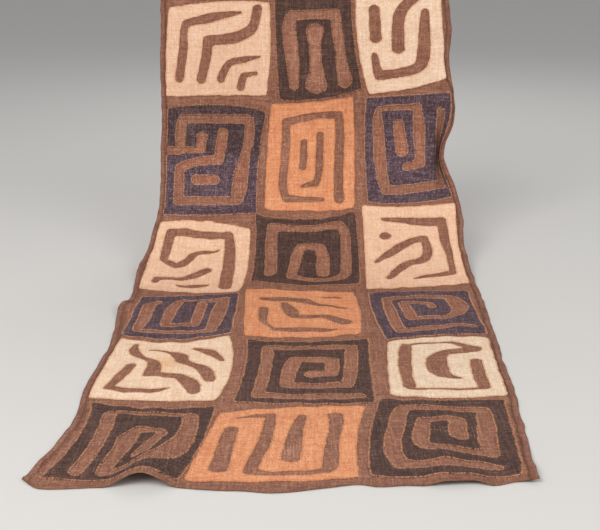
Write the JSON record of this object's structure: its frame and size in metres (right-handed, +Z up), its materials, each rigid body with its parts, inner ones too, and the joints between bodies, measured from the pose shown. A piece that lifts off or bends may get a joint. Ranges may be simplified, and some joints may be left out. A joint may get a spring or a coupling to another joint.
{
  "type": "kuba raffia cloth",
  "caption": "Long raffia cloth of sewn-on patches with cut-out bar and hook motifs, hung from its top edge and sweeping out over the floor.",
  "frame": {"origin": "on the floor, under the middle of the cloth's box", "axes": "+Z up, -Y towards the front hem that lies on the floor, +Y towards the hanging part, +X to the right seen from the front"},
  "size_m": [0.7425, 1.1384, 0.6274],
  "materials": {
    "ground": "plain-woven raffia, brown, matt",
    "edging": "plain-woven raffia strip, dull brown, matt",
    "cream": "plain-woven raffia, undyed cream, matt",
    "black": "plain-woven raffia, brown-black dye, matt",
    "indigo": "plain-woven raffia, faded indigo dye, matt",
    "orange": "plain-woven raffia, orange dye, matt"
  },
  "bodies": {
    "root": {"ground_cloth": "ground", "edging_left": "edging", "edging_right": "edging", "patch_row1_left": "cream", "patch_row1_middle": "black", "patch_row1_right": "cream", "patch_row2_left": "indigo", "patch_row2_middle": "orange", "patch_row2_right": "indigo", "patch_row3_left": "cream", "patch_row3_middle": "black", "patch_row3_right": "cream", "patch_row4_left": "indigo", "patch_row4_middle": "orange", "patch_row4_right": "indigo", "patch_row5_left": "cream", "patch_row5_middle": "black", "patch_row5_right": "cream", "patch_row6_left": "black", "patch_row6_middle": "orange", "patch_row6_right": "black"}
  },
  "joints": []
}
